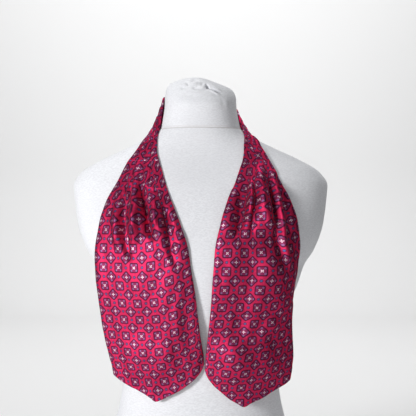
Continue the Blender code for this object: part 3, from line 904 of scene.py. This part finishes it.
RIGHT_ROWS = (
    PrintRow(581, -9.0), PrintRow(557, -8.0), PrintRow(533, -7.0), PrintRow(509, -6.0),
    PrintRow(485, -5.0), PrintRow(461, -4.0), PrintRow(436.9, -3.0), PrintRow(408.3, -2.0),
    PrintRow(381.2, -1.0), PrintRow(353.3, 0.0), PrintRow(327, 1.0), PrintRow(301.4, 2.0),
    PrintRow(275.8, 3.0), PrintRow(251, 4.0), PrintRow(226.9, 5.0), PrintRow(203.6, 6.0),
    PrintRow(180, 7.0), PrintRow(156, 8.0),
)
RIGHT_LINES = (
    PleatLine(103, 549, 112, 120, 410, 0.0, 1.1),
    PleatLine(98.1, 549, 103, 108, 440, 1.0, 0.8),
    PleatLine(87.25, 549, 84, 79, 440, 1.0, 1.0),
    PleatLine(76.4, 549, 68, 60, 430, 1.0, 1.1),
)
# The print's columns are counted from the inner edge, and its rows lift towards it
RIGHT_FIRST_COLUMN = 19.0
RIGHT_COLUMN_PITCH = 28.0
RIGHT_LIFT = 11.0
RIGHT_LIFT_POWER = 4.0

right_cloth = blade_cloth(RIGHT_SECTIONS, RIGHT_POINT, RIGHT_FOLDS, RIGHT_CREASES, RIGHT_WAVES)
right_lift = RIGHT_LIFT * (1 - right_cloth.share) ** RIGHT_LIFT_POWER
right_across = column_distance(right_cloth, RIGHT_LINES)
right_print = np.stack([
    (right_across[:, -1:] - right_across - RIGHT_FIRST_COLUMN) / RIGHT_COLUMN_PITCH,
    by_height(RIGHT_ROWS, "row", right_cloth.plain[..., 2] - right_lift),
], axis=-1)
blade_right = blade_object("BladeRight", right_cloth, right_print, silk)
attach(blade_right, "root")
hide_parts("blade_right")


# Neckband
# The pleated middle of the cravat, from one tack line round the nape to the other: silk in four knife pleats.
# A band read station by station round the neck, its outer face stepped by the pleats and lightly crumpled.

BandStation = namedtuple("BandStation", "upper_x upper_y upper_z lower_x lower_y lower_z")
BAND_STATIONS = (
    BandStation(-64, -62, 549, -113, -53, 549),
    BandStation(-67.5, -53, 566, -103, -44, 562),
    BandStation(-67, -43, 581, -95, -35, 575),
    BandStation(-65, -24, 600, -86.5, -16, 588),
    BandStation(-61, -2, 634, -77.5, 6, 598),
    BandStation(-58, 16, 657, -67.5, 30, 605),
    BandStation(-38, 50, 663, -48, 60, 610),
    BandStation(0, 64, 659, 0, 74, 610),
    BandStation(38, 50, 652, 48, 60, 606),
    BandStation(56.5, 18, 637, 67, 30, 599),
    BandStation(60, -4, 619, 79, 4, 592),
    BandStation(65, -26, 588, 88, -17, 582),
    BandStation(67, -43, 576, 95, -36, 572),
    BandStation(67.7, -53, 565, 102, -45, 561),
    BandStation(65.5, -62, 549, 109, -53, 549),
)
NECK_CENTRE = (0.0, 0.0, 560.0)
BAND_THICKNESS = 1.8
BAND_BULGE = 2.0
BAND_END_SHARE = 0.1
BAND_PLEATS = 4
PLEAT_STEP = 1.3
PLEAT_RISE_SHARE = 0.12
LAST_PLEAT_END = BAND_PLEATS - 1e-6
# How the pleats' edges wander along the band: how far, in shares of a pleat, how often, and where each starts
Wander = namedtuple("Wander", "reach rate start")
PLEAT_WANDERS = (Wander(0.05, 31.0, 0.0), Wander(0.03, 53.0, 2.0))
BAND_CREASE_DEEPEST = 0.8
BAND_TAPER = 0.5
BAND_ALONG = 260
BAND_ACROSS = 96
# Small creases on the band: distances along it from the left tack line and across it from its upper edge
BAND_CREASES = (
    Crease(6, 4, 14, 10, 26, 12, -0.8, 2.2, 0.4, 0.0),
    Crease(4, 22, 16, 26, 30, 24, 0.7, 2.6, 0.4, 0.0),
    Crease(8, 36, 20, 32, 34, 30, -0.8, 2.4, 0.3, 0.0),
    Crease(30, 8, 42, 14, 56, 12, 0.7, 2.8, 0.0, 0.0),
    Crease(38, 20, 52, 18, 68, 24, -0.7, 2.2, 0.0, 0.0),
    Crease(70, 10, 86, 16, 104, 12, -0.6, 2.6, 0.0, 0.0),
    Crease(92, 26, 110, 22, 130, 28, 0.6, 3.0, 0.0, 0.0),
    Crease(140, 12, 160, 20, 184, 14, -0.6, 2.8, 0.0, 0.0),
    Crease(170, 34, 192, 28, 216, 36, 0.6, 3.0, 0.0, 0.0),
    Crease(205, 10, 226, 16, 250, 10, -0.6, 2.6, 0.0, 0.0),
    Crease(246, 30, 262, 24, 284, 28, 0.6, 2.8, 0.0, 0.0),
    Crease(290, 12, 306, 18, 322, 12, -0.7, 2.4, 0.0, 0.0),
    Crease(330, 24, 344, 18, 360, 22, 0.7, 2.4, 0.0, 0.0),
    Crease(362, 8, 376, 14, 392, 8, -0.8, 2.4, 0.0, 0.3),
    Crease(366, 30, 380, 26, 396, 32, -0.8, 2.4, 0.0, 0.4),
)


def pleat_steps(share, wander):
    """Knife pleats across the band: each rises quickly at its folded edge and falls slowly to the next."""
    phase = np.clip(share * BAND_PLEATS + wander, 0, LAST_PLEAT_END) % 1.0
    rising = ease(phase, 0, PLEAT_RISE_SHARE)
    falling = (1 - phase) / (1 - PLEAT_RISE_SHARE)
    return PLEAT_STEP * np.minimum(rising, falling)


band_sides = [
    np.stack([column(BAND_STATIONS, side + axis) for axis in "xyz"], axis=-1) for side in ("upper_", "lower_")
]
band_middles = (band_sides[0] + band_sides[1]) / 2
band_travelled = np.concatenate([[0], np.cumsum(np.linalg.norm(np.diff(band_middles, axis=0), axis=1))])
band_length = band_travelled[-1]
band_at = np.linspace(0, band_length, BAND_ALONG)
band_upper, band_lower = (
    np.stack([smooth(band_travelled, side[:, axis], band_at) for axis in range(3)], axis=-1)
    for side in band_sides
)
band_width = np.linalg.norm(band_lower - band_upper, axis=1)
band_share = spaced(BAND_ACROSS, band_width.mean())[None, :]
band_flat = band_upper[:, None, :] + (band_lower - band_upper)[:, None, :] * band_share[..., None]
band_outward = band_flat - np.array(NECK_CENTRE)
band_normals = grid_normals(band_flat, band_outward)
along_share = (band_at / band_length)[:, None]
band_ends = np.clip(np.minimum(along_share, 1 - along_share) / BAND_END_SHARE, 0, 1)
band_bulge = BAND_BULGE * band_ends * 4 * band_share * (1 - band_share)
band_inner = clear_of_form(band_flat + band_normals * band_bulge[..., None], CLEARANCE)
band_normals = grid_normals(band_inner, band_outward)
band_along, band_across = np.broadcast_arrays(band_at[:, None], band_share * band_width[:, None])
band_wander = sum(part.reach * np.sin(along_share * part.rate + part.start) for part in PLEAT_WANDERS)
band_wander = band_wander * band_ends
band_relief = crease_relief(BAND_CREASES, band_along, band_across) * band_ends
band_edge = np.minimum(band_across, band_width[:, None] - band_across)
# The band is no thicker than the blades where it meets them
band_thick = BAND_THICKNESS - SILK_THICKNESS + pleat_steps(band_share, band_wander)
band_thick = SILK_THICKNESS + band_thick * ease(band_ends, 0, BAND_TAPER)
band_thick = band_thick + np.maximum(band_relief, -BAND_CREASE_DEEPEST)
band_back, band_front = rounded_faces(band_inner, band_normals, band_edge, band_thick)

# Each pleat hides most of its cloth, so the print jumps from one to the next
BAND_REPEATS = 15.35
LEFT_TACK_ROW = -7.0
LEFT_TACK_COLUMN = -0.65
RIGHT_TACK_COLUMN = -0.93
band_phase = np.clip((1 - band_share) * BAND_PLEATS - band_wander, 0, LAST_PLEAT_END)
band_pleat = np.floor(band_phase)
band_seen = band_width[:, None] / BAND_PLEATS / LEFT_COLUMN_PITCH
band_hidden = (CLOTH_WIDTH - band_width[0]) / (BAND_PLEATS - 1) / LEFT_COLUMN_PITCH
band_columns = LEFT_TACK_COLUMN + (RIGHT_TACK_COLUMN - LEFT_TACK_COLUMN) * along_share
band_columns = band_columns + band_pleat * (band_hidden + band_seen) + (band_phase - band_pleat) * band_seen
band_rows = np.broadcast_to(LEFT_TACK_ROW - along_share * BAND_REPEATS, band_columns.shape)
band_print = np.stack([band_columns, band_rows], axis=-1)
neckband = shell_object("Neckband", band_back, band_front, band_print, silk)
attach(neckband, "root")
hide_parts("neckband")


# Studio
# A pale floor that curves up into a pale backdrop, one main light from the front left and softer ones.
# The camera stands level with the chest, straight in front.

STUDIO_WIDTH = 2.8
STUDIO_FRONT = -3.0
STUDIO_BACK = 3.2
STUDIO_HEIGHT = 3.0
STUDIO_CURVE = 0.7
STUDIO_STEPS = 24
STUDIO_COLOUR = (0.86, 0.86, 0.86, 1.0)
STUDIO_ROUGHNESS = 0.9


def plain_material(name, colour, roughness):
    made = bpy.data.materials.new(name)
    made.use_nodes = True
    shader = made.node_tree.nodes["Principled BSDF"]
    shader.inputs["Base Color"].default_value = colour
    shader.inputs["Roughness"].default_value = roughness
    return made


def studio_object():
    profile = [(STUDIO_FRONT, 0.0)]
    for k in range(STUDIO_STEPS + 1):
        angle = np.pi / 2 * k / STUDIO_STEPS
        profile.append((STUDIO_BACK - STUDIO_CURVE + STUDIO_CURVE * np.sin(angle),
                        STUDIO_CURVE - STUDIO_CURVE * np.cos(angle)))
    profile.append((STUDIO_BACK, STUDIO_HEIGHT))
    points = [(side * STUDIO_WIDTH / 2 / MM, y / MM, z / MM) for y, z in profile for side in (-1, 1)]
    faces = [(2 * k, 2 * k + 1, 2 * k + 3, 2 * k + 2) for k in range(len(profile) - 1)]
    paper = plain_material("StudioPaper", STUDIO_COLOUR, STUDIO_ROUGHNESS)
    return mesh_object("Studio", points, faces, paper)


studio = studio_object()

AIM = Vector((0.0, 0.0, 0.42))
BACKDROP_AIM = Vector((0.0, STUDIO_BACK, 0.6))
Lamp = namedtuple("Lamp", "name place aim width height power")
LAMPS = (
    Lamp("KeyLight", (-1.47, -1.63, 0.60), AIM, 0.42, 0.5, 35.0),
    Lamp("FrontLight", (-0.1, -2.3, 0.60), AIM, 0.7, 0.5, 5.0),
    Lamp("TopLight", (0.4, 0.1, 2.3), AIM, 0.8, 0.6, 8.0),
    Lamp("BackdropLight", (0.0, 0.9, 3.0), BACKDROP_AIM, 2.4, 0.5, 78.0),
)
for lamp in LAMPS:
    light = bpy.data.lights.new(lamp.name, "AREA")
    light.shape = "RECTANGLE"
    light.size = lamp.width
    light.size_y = lamp.height
    light.energy = lamp.power
    holder = bpy.data.objects.new(lamp.name, light)
    holder.location = lamp.place
    holder.rotation_euler = (lamp.aim - Vector(lamp.place)).to_track_quat("-Z", "Y").to_euler()
    bpy.context.scene.collection.objects.link(holder)

FILL_COLOUR = (0.97, 0.98, 1.0, 1.0)
FILL_STRENGTH = 0.13
world = bpy.data.worlds.new("StudioFill")
bpy.context.scene.world = world
world.use_nodes = True
fill = world.node_tree.nodes["Background"]
fill.inputs["Color"].default_value = FILL_COLOUR
fill.inputs["Strength"].default_value = FILL_STRENGTH

CAMERA_PLACE = (0.012, -1.5, 0.476)
CAMERA_LENS = 80.13
CAMERA_SENSOR = 36.0
camera_data = bpy.data.cameras.new("Camera")
camera_data.sensor_width = CAMERA_SENSOR
camera_data.lens = CAMERA_LENS
camera = bpy.data.objects.new("Camera", camera_data)
camera.location = CAMERA_PLACE
camera.rotation_euler = (np.pi / 2, 0.0, 0.0)
bpy.context.scene.collection.objects.link(camera)
bpy.context.scene.camera = camera
bpy.context.scene.view_settings.view_transform = "Standard"
